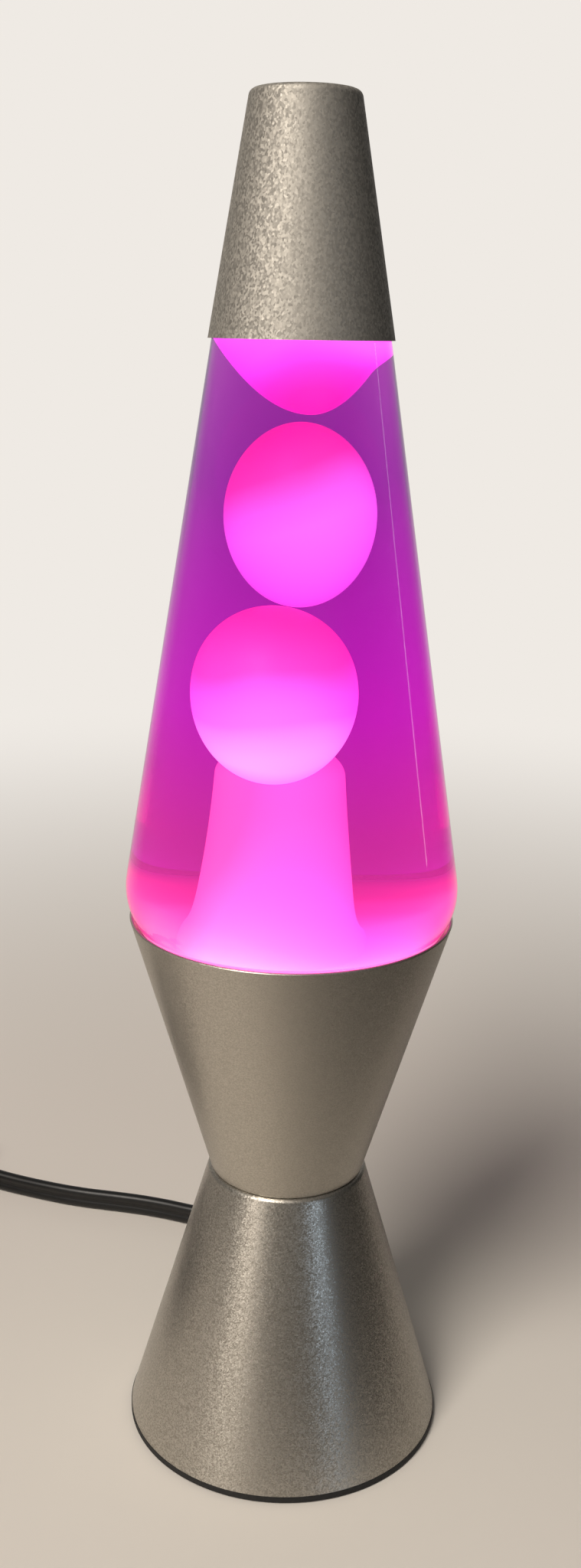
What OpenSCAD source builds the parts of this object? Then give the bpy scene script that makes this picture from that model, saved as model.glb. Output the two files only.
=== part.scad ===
// Motion lamp: a tapered glass globe of coloured liquid and wax on an hourglass metal base,
// warmed by a small bulb in the cup. Sizes in millimetres, +Z up, origin at the middle of the
// base on the table.

/* [Base] */
// Diameter of the base at the table
base_d = 91.5; // [84:0.5:110]
// Height of the waist above the table
waist_h = 80.2; // [70:0.2:110]
// Diameter of the cup where it stands on the base
waist_d = 43.2; // [41:0.2:52]
// Wall of the spun metal cones
metal_t = 0.8; // [0.5:0.1:1.2]
// How far the base's top rim stands out past the cup
rim_lip = 0.7; // [0.3:0.1:1.5]
// Rounding of the base's top rim
rim_round = 1.4; // [0.6:0.1:2]
// Width of the flange turned in at the base's lower edge
hem_w = 9; // [8:0.5:14]
// Height of the rubber foot
foot_h = 2.2; // [2:0.1:4]
// Width of the rubber foot
foot_w = 4; // [3:0.5:5]
// How far the foot stands back from the base's edge
foot_inset = 0.5; // [0:0.1:1]
// Thickness of the cover under the base
cover_t = 1; // [0.6:0.1:1.2]
// Number of screws in the cover
cover_screws_n = 3; // [3:1:6]

/* [Cup] */
// Height of the cup above the waist
cup_h = 76; // [66:0.5:110]
// Number of rivets through cup and base
rivets_n = 3; // [3:1:4]
// Diameter of a rivet's shank
rivet_d = 2.8; // [2:0.1:3]

/* [Globe] */
// Largest diameter of the globe
globe_d = 90.2; // [84:0.2:100]
// Height of the widest line above the cup's rim
seat_drop = 8.4; // [6:0.2:10]
// Radius of the globe's heel
heel_r = 18; // [15:0.5:20]
// Height of the bare glass above the widest line
globe_h = 143.1; // [138:0.5:180]
// Diameter of the glass at the cap's lower edge
globe_top_d = 44.8; // [42:0.2:52]
// Wall of the glass
glass_t = 2.6; // [2:0.1:3.2]
// Height of the push-up in the globe's floor
punt_h = 3; // [1:0.5:5]
// Diameter of the neck's mouth ring
neck_d = 26.4; // [22:0.2:28]
// Height of the neck
neck_h = 9; // [7:0.5:14]

/* [Cap] */
// Height of the cap
cap_h = 57.5; // [52:0.5:80]
// Diameter of the cap's top
cap_top_d = 27; // [20:0.5:32]
// Wall of the cap
cap_t = 0.6; // [0.4:0.1:1]
// Rounding of the cap's top edge
cap_round = 1.8; // [1:0.1:3]

/* [Wax] */
// Depth of the wax pool over the floor
pool_h = 4.8; // [4.8:0.1:8]
// Height of the rising column above the pool
column_h = 49; // [42:0.5:50]
// Radius that the column thins towards
column_tip_r = 10; // [7:0.1:12]
// Radius of the column where it leaves the pool
column_foot_r = 15.6; // [12:0.1:20]
// Height over which the column thins
column_flare = 30; // [20:1:40]
// Diameter of the lower blob
blob_lower_d = 35.6; // [28:0.1:36]
// Height of the lower blob
blob_lower_h = 45.9; // [36:0.1:47]
// Height of the lower blob's underside above the pool
blob_lower_rise = 42.3; // [42:0.1:48]
// Diameter of the upper blob
blob_upper_d = 28.5; // [24:0.1:32]
// Height of the upper blob
blob_upper_h = 46.5; // [36:0.1:47]
// Height of the upper blob's underside above the lower blob's top
blob_step = -2; // [-2:0.1:6]
// Clear height between the upper blob and the wax that hangs above
top_step = 2; // [1:0.2:6]
// Width between the hanging wax and the outside of the globe at its top
top_room = 4.7; // [3:0.1:8]
// Diameter of the heat coil's ring
coil_ring_d = 44; // [36:0.5:46]
// Diameter across the heat coil's curls
coil_curl_d = 3.6; // [3:0.1:3.6]
// Wire of the heat coil
coil_wire_d = 0.8; // [0.6:0.1:1]
// Number of curls in the heat coil
coil_curls = 36; // [24:1:48]

/* [Bulb and socket] */
// Diameter of the bulb
bulb_d = 35; // [28:0.5:40]
// Length of the bulb from its contact to its top
bulb_l = 59; // [52:0.5:64]
// Wall of the bulb's glass
bulb_t = 0.6; // [0.4:0.1:1]
// Diameter of the bulb's screw base
bulb_base_d = 16.6; // [13:0.1:17]
// Length of the bulb's screw base
bulb_base_l = 17; // [14:0.5:20]
// Wall of the socket's insulator
socket_t = 2.2; // [1.6:0.1:2.6]
// Depth of the socket below the cup's floor
socket_depth = 27; // [25:0.5:32]

/* [Cord] */
// Width of the flat cord
cord_w = 7.4; // [6:0.1:7.4]
// Thickness of the flat cord
cord_t = 3.7; // [3:0.1:3.7]
// Height where the cord leaves the base
cord_exit_h = 14; // [13:0.5:24]
// Turns of the coiled cord
cord_turns = 6; // [4:1:6]
// Outer radius of the coil's centreline
cord_coil_r = 45.5; // [41:0.5:50]
// Step between neighbouring loops
cord_pitch = 4.4; // [4.4:0.1:6]
// Length of the cord switch
switch_l = 52; // [50:1:60]
// Width of the cord switch
switch_w = 25; // [22:0.5:30]
// Thickness of the cord switch
switch_h = 17; // [16:0.5:20]
// Length of the plug's body
plug_l = 32; // [26:0.5:40]
// Width of the plug's body
plug_w = 24; // [22:0.5:30]
// Thickness of the plug's body
plug_t = 16; // [14:0.5:20]

/* [Hidden] */
$fn = 96;

// Clearances
move_gap = 0.35;
fit_gap = 0.1;
film = 0.15;
wax_gap = 0.35;
eps = 0.01;

// Base cone
base_r = base_d / 2;
waist_r = waist_d / 2;
rim_r = waist_r + rim_lip;
base_slope = (base_r - rim_r) / waist_h;
base_tilt = atan(base_slope);
base_wall = metal_t / cos(base_tilt);
hem_z = foot_h;
hem_r = base_r - base_slope * hem_z - hem_w;
foot_out = base_r - foot_inset;
foot_in = foot_out - foot_w;
cover_r = foot_in - fit_gap;
screw_d = 2.4;
screw_head_d = 4.2;
screw_head_h = 0.9;
screw_l = 4;
cover_circle = (hem_r + cover_r) / 2;

// Cup, from the waist to the rim around the globe's heel
floor_z = waist_h + metal_t;
cup_z = waist_h + cup_h;
globe_r = globe_d / 2;
heel_c = globe_r - heel_r;
seat_r = heel_c + sqrt(heel_r * heel_r - seat_drop * seat_drop);
cup_slope = (seat_r + move_gap + metal_t - waist_r) / cup_h;
cup_wall = metal_t / cos(atan(cup_slope));
cup_r = seat_r + move_gap + cup_wall;

// Globe
wide_z = cup_z + seat_drop;
glass_low_z = wide_z - heel_r;
glass_floor_z = glass_low_z + glass_t;
punt_r = heel_c - heel_c / 8;
punt_mid_r = punt_r / 2 + 2;
bare_z = wide_z + globe_h;
glass_top_r = globe_top_d / 2;
glass_slope = (globe_r - glass_top_r) / globe_h;
glass_tilt = atan(glass_slope);
shoulder_run = 3;
shoulder_z = bare_z + shoulder_run;
shoulder_r = glass_top_r - glass_slope * shoulder_run;
shoulder_round = 5;
neck_r = neck_d / 2;
neck_z = shoulder_z + shoulder_r - neck_r;
mouth_z = neck_z + neck_h;
ring_h = 3;
ring_out = 1;
neck_out_r = neck_r - ring_out;

// Crown closure on the mouth
seal_t = 0.8;
crown_t = 0.4;
crown_skirt = 5;
crown_teeth = 21;
crown_tooth = 0.8;
crown_in_r = neck_r + fit_gap;
seal_r = crown_in_r - fit_gap;
crown_z = mouth_z + seal_t;

// Cap over the crown
cap_z = bare_z;
cap_r = glass_top_r + move_gap + cap_t / cos(glass_tilt);
cap_top_z = cap_z + cap_h;
cap_top_r = cap_top_d / 2;
cap_wall = cap_t / cos(atan((cap_r - cap_top_r) / cap_h));

// Wax
pool_z = glass_floor_z + pool_h;
column_at = [-3.8, 11];
column_dome = 10;
column_fillet = 2.5;
blob_lower_z = pool_z + blob_lower_rise + blob_lower_h / 2;
blob_lower_at = [-4.6, -8.5];
blob_upper_z = blob_lower_z + blob_lower_h / 2 + blob_step + blob_upper_h / 2;
blob_upper_at = [0.35, 3];
top_low_z = blob_upper_z + blob_upper_h / 2 + top_step;
top_at = [2, 0];
top_r = glass_top_r - top_room;
fill_z = bare_z + shoulder_run;
top_wide_z = fill_z - 2;
coil_low_gap = 0.2;
coil_in_r = (coil_ring_d - coil_curl_d) / 2;
coil_z = glass_floor_z + punt_rise(coil_in_r) + coil_curl_d / 2 + coil_low_gap;

// Socket and bulb
shell_t = 0.4;
shell_r = bulb_base_d / 2 + move_gap;
socket_bore = shell_r + shell_t + fit_gap;
socket_r = socket_bore + socket_t;
socket_flange_t = 2.4;
socket_flange_r = waist_r - metal_t - 1.4;
socket_collar = 2;
socket_low_z = floor_z - socket_depth;
socket_floor_t = 4;
socket_top_z = floor_z + socket_flange_t + socket_collar;
contact_z = socket_low_z + socket_floor_t;
bulb_tip_h = 1.2;
bulb_tip_r = 2.6;
insulator_h = 3.8;
insulator_r = bulb_base_d / 2 - 1.2;
bulb_base_z = socket_top_z + move_gap - bulb_base_l;
bulb_z = bulb_base_z - insulator_h - bulb_tip_h;
contact_h = bulb_z - move_gap - contact_z;
bulb_base_t = 0.3;
thread_pitch = 2.8;
thread_depth = 0.6;
bulb_r = bulb_d / 2;
bulb_mid_z = bulb_z + bulb_l - bulb_r;
bulb_neck_r = bulb_base_d / 2 - thread_depth - bulb_base_t - fit_gap;
bulb_neck_z = bulb_base_z + 6;
stem_r = 3;
stem_z = bulb_base_z + bulb_base_l + 5;
filament_r = 6.5;
filament_wire_r = 0.4;
filament_z = stem_z + 7;
socket_hole = socket_r + fit_gap;
rivet_circle = (socket_hole + socket_flange_r) / 2;
rivet_head_r = rivet_d / 2 + 0.7;
rivet_head_h = 1;
terminal_rise = 9;
terminal_z = socket_low_z + terminal_rise;
terminal_r = 2;
terminal_l = 2.6;

// Strain relief in the back of the base cone
exit_at = [0, base_r - base_slope * cord_exit_h, cord_exit_h];
bushing_r = cord_w / 2 + 2;
bushing_flange_r = bushing_r + 2;
bushing_flange_t = bushing_flange_r * base_slope + 1.4;
bushing_in = 5;
bushing_out = 22;
bushing_lock_t = 1.6;
bushing_tail_r = cord_w / 2 + 0.9;

// The cord lies on edge, with a groove between its two cores. It comes down to the table behind
// the base, runs off to the left through the switch, bends forward into a flat coil of two
// layers, and leaves the upper layer to the plug.
groove_at = 0.4;
lie_z = cord_w / 2;
tie_t = 0.8;
coil_low_z = tie_t + fit_gap + cord_w / 2;
layer_step = cord_w + 0.7;
switch_at = [-122, 121, coil_low_z];
switch_end = switch_at - [switch_l, 0, 0];
bend_r = 32;
coil_gap = 1.6;
coil_start = [
    switch_end.x - cord_w - bend_r,
    switch_end.y - switch_w / 2 - coil_gap - cord_t / 2 - cord_coil_r,
    coil_low_z
];
coil_at = coil_start + [cord_coil_r, 0, 0];
coil_end = coil_start + [0, 0, layer_step];
plug_lead = 40;
plug_at = [coil_end.x, coil_end.y - plug_lead, plug_t / 2];
lamp_route = [
    exit_at - [0, bushing_in, 0],
    exit_at + [0, bushing_out, 0],
    [-0.7, 70, 13.4], [-2.6, 76, 12], [-5.7, 81.5, 10], [-9.9, 86.2, 8], [-15, 90, 6.2],
    [-20.9, 92.6, 4.8], [-27.4, 94.4, 4], [-34.1, 96.4, lie_z], [-42.4, 99.4, lie_z],
    [-51.5, 102.1, lie_z], [-61.6, 104.3, lie_z], [-71.6, 106.2, lie_z], [-80.7, 108.5, lie_z],
    [-89.3, 111.3, lie_z], [-98, 114.5, lie_z], [-106.5, 117.7, lie_z + 0.3],
    switch_at + [cord_w, 0, 0],
    switch_at
];
coil_route = concat(
    [switch_end],
    [for (a = [90 : 15 : 180]) switch_end + [bend_r * cos(a) - cord_w, bend_r * (sin(a) - 1), 0]],
    [coil_start + [0, cord_w, 0], coil_start]
);
plug_drop = [0, 0, coil_end.z - plug_at.z];
plug_route = [
    coil_end,
    coil_end - [0, cord_w, 0],
    coil_end - [0, plug_lead * 0.4, 0] - plug_drop * 0.05,
    coil_end - [0, plug_lead * 0.52, 0] - plug_drop * 0.25,
    coil_end - [0, plug_lead * 0.65, 0] - plug_drop * 0.7,
    coil_end - [0, plug_lead * 0.74, 0] - plug_drop * 0.93,
    plug_at + [0, cord_w, 0],
    plug_at
];

// Switch
switch_wall = 1.6;
switch_split = 0.45;
switch_round = 4;
rocker_l = 16;
rocker_w = 8;
rocker_h = 7;
rocker_rise = 1.6;
rocker_tilt = 10;
pivot_r = 1.2;
pivot_gap = 0.05;
pivot_l = 12;
lug_t = 1.6;
lug_r = 2.6;
switch_split_z = switch_h * switch_split;
switch_mid = [switch_at.x - switch_l / 2, switch_at.y, 0];
pivot_z = switch_h - rocker_h / 2 + rocker_rise / 2;
switch_screw_r = 1.3;
switch_screw_head_r = 2.4;
switch_screw_head_h = 1.6;
switch_post_r = 3;
switch_screw_inset = 8;
switch_screw_x = switch_l / 2 - switch_screw_inset;

// Plug
blade_w = 6.4;
blade_t = 1.5;
blade_l = 17;
blade_root = 8;
blade_step = 12.7;
blade_hole_r = 1.6;
plug_round = 3;

function unit(v) = v / norm(v);
function turn(a) = a > 180 ? a - 360 : a < -180 ? a + 360 : a;

// Points of the arc that rounds the corner p between the straight lines to a and b
function fillet(a, p, b, r, n = 6) =
    let (
        u = unit(a - p),
        v = unit(b - p),
        half = acos(u * v) / 2,
        c = p + unit(u + v) * r / sin(half),
        s = p + u * r / tan(half) - c,
        e = p + v * r / tan(half) - c,
        from = atan2(s.y, s.x),
        sweep = turn(atan2(e.y, e.x) - from)
    )
    [for (i = [0 : n]) c + r * [cos(from + sweep * i / n), sin(from + sweep * i / n)]];

// Half outline of an upright egg of half width a and half height h
function egg(a, h, n = 18) = [for (i = [0 : n]) [a * sin(180 * i / n), -h * cos(180 * i / n)]];

// Section of the flat cord: two round cores with a groove between, or six plain sides
function twin(w, t) = [
    for (side = [1, -1])
        each concat(
            [[side * t * groove_at, 0]],
            [for (a = [-30 : 40 : 210]) side * [t / 2 * cos(a), (w - t) / 2 + t / 2 * sin(a)]]
        )
];
function six(w, t) = [
    [t / 2, -w / 4], [t / 2, w / 4], [0, w / 2],
    [-t / 2, w / 4], [-t / 2, -w / 4], [0, -w / 2]
];

// Gap between two upright six-sided sections whose middles are apart by d
function six_gap(d, w, t) =
    let (across = norm([d.x, d.y]), high = abs(d.z))
    max(across - t, (across * w / 2 + high * t - w * t) / norm([w / 2, t]));
function disc(r, n) = [for (i = [0 : n - 1]) r * [cos(360 * i / n), sin(360 * i / n)]];

// Rings of a section that stands upright along a route
function along(route, i) = unit(route[min(i + 1, len(route) - 1)] - route[max(i - 1, 0)]);
function ring_at(p, t, section) =
    let (side = unit(cross(t, [0, 0, 1])), up = cross(side, t))
    [for (q = section) p + side * q.x + up * q.y];
function swept(route, section) =
    [for (i = [0 : len(route) - 1]) ring_at(route[i], along(route, i), section)];

// One closed tube through a list of rings, or a ring-shaped one
module tube(rings, closed = false) {
    n = len(rings[0]);
    m = len(rings);
    last = closed ? m - 1 : m - 2;
    sides = [
        for (i = [0 : last], j = [0 : n - 1])
            let (
                k = (j + 1) % n,
                i2 = (i + 1) % m
            )
            each [[i * n + j, i2 * n + k, i * n + k], [i * n + j, i2 * n + j, i2 * n + k]]
    ];
    ends = closed ? [] : [
        for (j = [1 : n - 2])
            each [[0, j, j + 1], [(m - 1) * n, (m - 1) * n + j + 1, (m - 1) * n + j]]
    ];
    polyhedron([for (r = rings) each r], concat(sides, ends), convexity = 10);
}

module around(n, r) {
    for (i = [0 : n - 1])
        rotate(360 * i / n)
            translate([r, 0, 0])
                children();
}

module at_exit() {
    translate(exit_at)
        rotate([-90, 0, 0])
            children();
}

// Base
function base_x(z) = base_r - base_slope * z;

module base_cone() {
    foot = [base_x(hem_z), hem_z];
    corner = [rim_r, waist_h];
    inner = [socket_hole, waist_h];
    shell = concat(
        [[hem_r, hem_z], foot],
        fillet(foot, corner, inner, rim_round),
        [
            inner,
            inner - [0, metal_t],
            [base_x(waist_h - metal_t) - base_wall - rim_round / 2, waist_h - metal_t],
            [base_x(waist_h - metal_t - rim_round) - base_wall, waist_h - metal_t - rim_round],
            [base_x(hem_z + metal_t) - base_wall, hem_z + metal_t],
            [hem_r, hem_z + metal_t]
        ]
    );
    color("silver")
        difference() {
            rotate_extrude()
                polygon(shell);
            at_exit()
                cylinder(r = bushing_r + fit_gap, h = 4 * bushing_in, center = true);
            around(cover_screws_n, cover_circle)
                cylinder(d = screw_d + fit_gap, h = 3 * foot_h);
            around(rivets_n, rivet_circle)
                translate([0, 0, waist_h - 2 * metal_t])
                    cylinder(d = rivet_d + fit_gap, h = 3 * metal_t);
        }
}

module foot_ring() {
    bevel = foot_h / 4;
    outline = [
        [foot_in, 0], [foot_out - bevel, 0], [foot_out, bevel],
        [foot_out, hem_z], [foot_in, hem_z]
    ];
    color("#141414")
        rotate_extrude()
            polygon(outline);
}

module base_cover() {
    slots_n = 8;
    slot_l = cover_r / 3;
    slot_w = 3;
    color("#202020")
        difference() {
            translate([0, 0, hem_z - cover_t])
                cylinder(r = cover_r, h = cover_t);
            around(cover_screws_n, cover_circle)
                cylinder(d = screw_d + fit_gap, h = 2 * foot_h);
            around(slots_n, cover_r / 2)
                translate([-slot_l / 2, -slot_w / 2, 0])
                    cube([slot_l, slot_w, 2 * foot_h]);
        }
}

module cover_screws() {
    color("dimgray")
        around(cover_screws_n, cover_circle)
            translate([0, 0, hem_z - cover_t - screw_head_h]) {
                difference() {
                    cylinder(d = screw_head_d, h = screw_head_h);
                    for (a = [0, 90])
                        rotate(a)
                            cube([screw_head_d * 0.6, 0.6, screw_head_h], center = true);
                }
                cylinder(d = screw_d, h = screw_head_h + cover_t + metal_t + screw_l);
            }
}

// Cup
module globe_cup() {
    low = [waist_r, waist_h];
    rim = [cup_r, cup_z];
    rim_n = 6;
    lean = atan(cup_slope);
    mid = rim - [cup_wall / 2, 0];
    lip = [
        for (i = [0 : rim_n])
            mid + metal_t / 2 * [cos(180 * i / rim_n - lean), sin(180 * i / rim_n - lean)] - [0, metal_t / 2]
    ];
    shell = concat(
        [[socket_hole, waist_h]],
        fillet([socket_hole, waist_h], low, rim, metal_t),
        lip,
        [[waist_r + cup_slope * metal_t - cup_wall, floor_z], [socket_hole, floor_z]]
    );
    color("#b9b6ad")
        difference() {
            rotate_extrude()
                polygon(shell);
            around(rivets_n, rivet_circle)
                translate([0, 0, waist_h - metal_t])
                    cylinder(d = rivet_d + fit_gap, h = 3 * metal_t);
        }
}

module waist_rivets() {
    stack = 2 * metal_t + socket_flange_t;
    color("#9a9a98")
        around(rivets_n, rivet_circle)
            translate([0, 0, waist_h - metal_t - rivet_head_h]) {
                cylinder(r1 = rivet_head_r - rivet_head_h / 2, r2 = rivet_head_r, h = rivet_head_h);
                cylinder(d = rivet_d, h = stack + 2 * rivet_head_h);
                translate([0, 0, rivet_head_h + stack])
                    cylinder(r1 = rivet_head_r, r2 = rivet_head_r - rivet_head_h / 2, h = rivet_head_h);
            }
}

// Socket
module socket_body() {
    outline = [
        [0, socket_low_z], [socket_r, socket_low_z], [socket_r, floor_z],
        [socket_flange_r, floor_z], [socket_flange_r, floor_z + socket_flange_t],
        [socket_r, floor_z + socket_flange_t], [socket_r, socket_top_z],
        [socket_bore, socket_top_z], [socket_bore, contact_z], [0, contact_z]
    ];
    color("#e8e2d2")
        difference() {
            rotate_extrude()
                polygon(outline);
            around(rivets_n, rivet_circle)
                translate([0, 0, floor_z - eps])
                    cylinder(d = rivet_d + fit_gap, h = 2 * socket_flange_t);
            around(rivets_n, rivet_circle)
                translate([0, 0, floor_z + socket_flange_t])
                    cylinder(r = rivet_head_r + fit_gap, h = socket_collar + 1);
        }
}

module socket_shell() {
    low = contact_z + contact_h;
    color("#c98a4b")
        translate([0, 0, low])
            difference() {
                cylinder(r = shell_r + shell_t, h = socket_top_z - low);
                translate([0, 0, -1])
                    cylinder(r = shell_r, h = socket_top_z - low + 2);
            }
}

module socket_contact() {
    color("#d0a050")
        translate([0, 0, contact_z]) {
            cylinder(r = shell_r - 2, h = 0.6);
            cylinder(r1 = 3, r2 = 2, h = contact_h);
        }
}

module socket_terminals() {
    color("#c9a04a")
        for (a = [0, 180])
            rotate(a)
                translate([socket_r, 0, terminal_z])
                    rotate([0, 90, 0])
                        cylinder(r = terminal_r, h = terminal_l);
}

// Two insulated leads from the end of the cord up to the socket's terminals
module socket_leads() {
    lead_r = cord_t / 2 - 0.4;
    cord_in = lamp_route[0];
    color("#f0efe8")
        for (side = [1, -1]) {
            foot = cord_in + [side * (lead_r + 0.3), 0, 0];
            head = [side * (socket_r + lead_r + 0.4), 0, terminal_z - terminal_r - 0.6];
            lift = [0, 0, (head.z - foot.z) * 0.5];
            route = [
                foot,
                foot - [0, 6, 0],
                foot - [0, 10, 0] + lift * 0.4 + [side * 3, 0, 0],
                [head.x + side * 3, (foot.y + head.y) / 3, foot.z + lift.z],
                [head.x + side, head.y + 2, head.z - 8],
                head
            ];
            tube([for (i = [0 : len(route) - 1]) lead_ring(route[i], along(route, i), lead_r)]);
        }
}
function lead_ring(p, t, r) =
    let (u = unit(cross(t, [1, 0, 0])), v = cross(t, u))
    [for (q = disc(r, 8)) p + u * q.x + v * q.y];

// Bulb
function bulb_side(r, low) =
    concat(
        [[low, bulb_neck_z], [low, bulb_base_z + bulb_base_l]],
        [for (a = [-50 : 10 : 90]) [r * cos(a), bulb_mid_z + r * sin(a)]]
    );

module bulb_glass() {
    outer = bulb_side(bulb_r, bulb_neck_r);
    inner = bulb_side(bulb_r - bulb_t, bulb_neck_r - bulb_t);
    color("#f4f1e6", 0.6)
        rotate_extrude()
            polygon(concat(outer, [for (i = [len(inner) - 1 : -1 : 0]) inner[i]]));
}

module bulb_base_shell() {
    turns = floor((bulb_base_l - 3) / thread_pitch);
    crest = bulb_base_d / 2;
    root = crest - thread_depth;
    ridges = [
        for (i = [0 : turns - 1])
            each [
                [root, bulb_base_z + 1 + i * thread_pitch],
                [crest, bulb_base_z + 1 + (i + 0.5) * thread_pitch]
            ]
    ];
    top_z = bulb_base_z + bulb_base_l;
    inside = root - bulb_base_t;
    color("#d8d4c8")
        rotate_extrude()
            polygon(concat(
                [[insulator_r + fit_gap, bulb_base_z], [root, bulb_base_z]],
                ridges,
                [
                    [root, bulb_base_z + 1 + turns * thread_pitch], [root, top_z], [inside, top_z],
                    [inside, bulb_base_z + bulb_base_t], [insulator_r + fit_gap, bulb_base_z + bulb_base_t]
                ]
            ));
}

module bulb_insulator() {
    low = bulb_z + bulb_tip_h;
    color("#16161a")
        difference() {
            translate([0, 0, low])
                cylinder(r1 = bulb_tip_r + 1, r2 = insulator_r, h = insulator_h);
            translate([0, 0, low - 1])
                cylinder(r = 0.8, h = insulator_h + 2);
        }
}

module bulb_contact() {
    color("#c8c8c8")
        translate([0, 0, bulb_z])
            cylinder(r1 = bulb_tip_r - 0.6, r2 = bulb_tip_r, h = bulb_tip_h);
}

module bulb_stem() {
    low = bulb_neck_z;
    color("#e6efef", 0.6)
        translate([0, 0, low]) {
            cylinder(r1 = bulb_neck_r - bulb_t - fit_gap, r2 = stem_r, h = 4);
            cylinder(r = stem_r, h = stem_z - low);
        }
}

module bulb_filament() {
    root = 3 * filament_wire_r;
    arm = [filament_r - root, filament_z - stem_z];
    color("#ffd890") {
        for (side = [1, -1])
            translate([side * root, 0, stem_z + filament_wire_r])
                rotate([0, side * atan(arm.x / arm.y), 0])
                    cylinder(r = filament_wire_r, h = norm(arm));
        translate([0, 0, filament_z])
            rotate([90, 0, 0])
                rotate_extrude(angle = 180)
                    translate([filament_r, 0])
                        circle(r = filament_wire_r * 1.5);
    }
}

// Globe
function glass_x(z) = globe_r - glass_slope * (z - wide_z);

// Height of the push-up at radius x over the lowest ring of the floor
function punt_rise(x) = lookup(x, [[0, punt_h], [punt_mid_r, punt_h / 2], [punt_r, 0]]);

// Half outline of the globe from its floor to its mouth, moved in by g from the glass's outside
function globe_side(g) =
    let (
        across = g / cos(glass_tilt),
        low = glass_low_z + g,
        heel = heel_r - g,
        shoulder = [shoulder_r - across, shoulder_z],
        neck = [neck_out_r - g, shoulder_z + shoulder_r - neck_out_r],
        round_in = max(1, shoulder_round - g),
        wide_n = 10
    )
    concat(
        [[0, low + punt_h], [punt_mid_r, low + punt_h / 2], [punt_r, low]],
        [
            for (i = [0 : wide_n])
                let (a = -90 + (90 + glass_tilt) * i / wide_n)
                [heel_c + heel * cos(a), wide_z + heel * sin(a)]
        ],
        fillet([glass_x(wide_z) - across, wide_z], shoulder, neck, round_in),
        fillet(shoulder, neck, neck + [0, neck_h], 2)
    );

module glass_globe() {
    outer = globe_side(0);
    inner = globe_side(glass_t);
    mouth = [
        [neck_out_r, mouth_z - ring_h - ring_out], [neck_r, mouth_z - ring_h],
        [neck_r, mouth_z - 0.6], [neck_r - 0.6, mouth_z], [neck_out_r - glass_t, mouth_z]
    ];
    color("#f2e6f5", 0.3)
        rotate_extrude()
            polygon(concat(outer, mouth, [for (i = [len(inner) - 1 : -1 : 0]) inner[i]]));
}

module crown_cap() {
    color("#b8b8b4")
        difference() {
            union() {
                translate([0, 0, crown_z - crown_skirt])
                    cylinder(r = crown_in_r + crown_t, h = crown_skirt + crown_t);
                around(crown_teeth, crown_in_r + crown_t - eps)
                    translate([0, 0, crown_z - crown_skirt])
                        cylinder(r1 = crown_tooth, r2 = 0.2, h = crown_skirt - 1, $fn = 24);
            }
            translate([0, 0, crown_z - crown_skirt - 1])
                cylinder(r = crown_in_r, h = crown_skirt + 1);
        }
}

module crown_seal() {
    color("#d8cfc0")
        translate([0, 0, mouth_z])
            cylinder(r = seal_r, h = seal_t);
}

// Space inside the glass, moved in by g and cut between two heights
module inside_glass(g, low, high) {
    side = globe_side(glass_t + g);
    intersection() {
        rotate_extrude()
            polygon(concat(side, [[neck_out_r - glass_t - g, mouth_z], [0, mouth_z]]));
        translate([0, 0, low])
            cylinder(r = globe_d, h = high - low);
    }
}

// Wax shapes, each grown by g for the space that it takes in the liquid
function column_x(h) =
    column_tip_r
    + (column_foot_r - column_tip_r) * exp(-h / column_flare)
    + column_fillet * exp(-h / column_fillet);

module column_shape(g) {
    body_h = column_h - column_dome;
    steps = 14;
    dome_r = column_x(body_h);
    side = [for (i = [0 : steps]) let (h = body_h * pow(i / steps, 1.5)) [column_x(h) + g, h]];
    dome = [for (a = [18 : 18 : 90]) [(dome_r + g) * cos(a), body_h + (column_dome + g) * sin(a)]];
    translate([column_at.x, column_at.y, pool_z])
        rotate_extrude()
            polygon(concat([[0, -pool_h / 8], [column_x(0) + g, -pool_h / 8]], side, dome));
}

module blob_lower_shape(g) {
    translate([blob_lower_at.x, blob_lower_at.y, blob_lower_z])
        rotate_extrude()
            polygon(egg(blob_lower_d / 2 + g, blob_lower_h / 2 + g));
}

module blob_upper_shape(g) {
    translate([blob_upper_at.x, blob_upper_at.y, blob_upper_z])
        rotate_extrude()
            polygon(egg(blob_upper_d / 2 + g, blob_upper_h / 2 + g));
}

module top_shape(g) {
    hang = top_wide_z - top_low_z;
    high = fill_z - top_wide_z + g;
    bulge = [for (s = [0 : 0.1 : 1]) [(top_r + g) * s, hang * (s * s - 1) - g]];
    translate([top_at.x, top_at.y, top_wide_z])
        rotate_extrude()
            polygon(concat(bulge, [[globe_r, -g], [globe_r, high], [0, high]]));
}

module wax_column() {
    color("#ff66e6")
        difference() {
            union() {
                inside_glass(film, glass_low_z, pool_z);
                intersection() {
                    column_shape(0);
                    inside_glass(film, glass_low_z, fill_z);
                }
            }
            translate([0, 0, coil_z])
                rotate_extrude()
                    translate([coil_ring_d / 2, 0])
                        circle(d = coil_curl_d + 2 * fit_gap);
        }
}

module wax_blob_lower() {
    color("#ff70ff")
        blob_lower_shape(0);
}

module wax_blob_upper() {
    color("#ff4ad0")
        blob_upper_shape(0);
}

module wax_top() {
    color("#ff40e0")
        intersection() {
            top_shape(0);
            inside_glass(film, glass_low_z, fill_z);
        }
}

module liquid() {
    color("#9a20b0", 0.5)
        difference() {
            inside_glass(film, pool_z + wax_gap, fill_z);
            column_shape(wax_gap);
            blob_lower_shape(wax_gap);
            blob_upper_shape(wax_gap);
            top_shape(wax_gap);
        }
}

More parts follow.
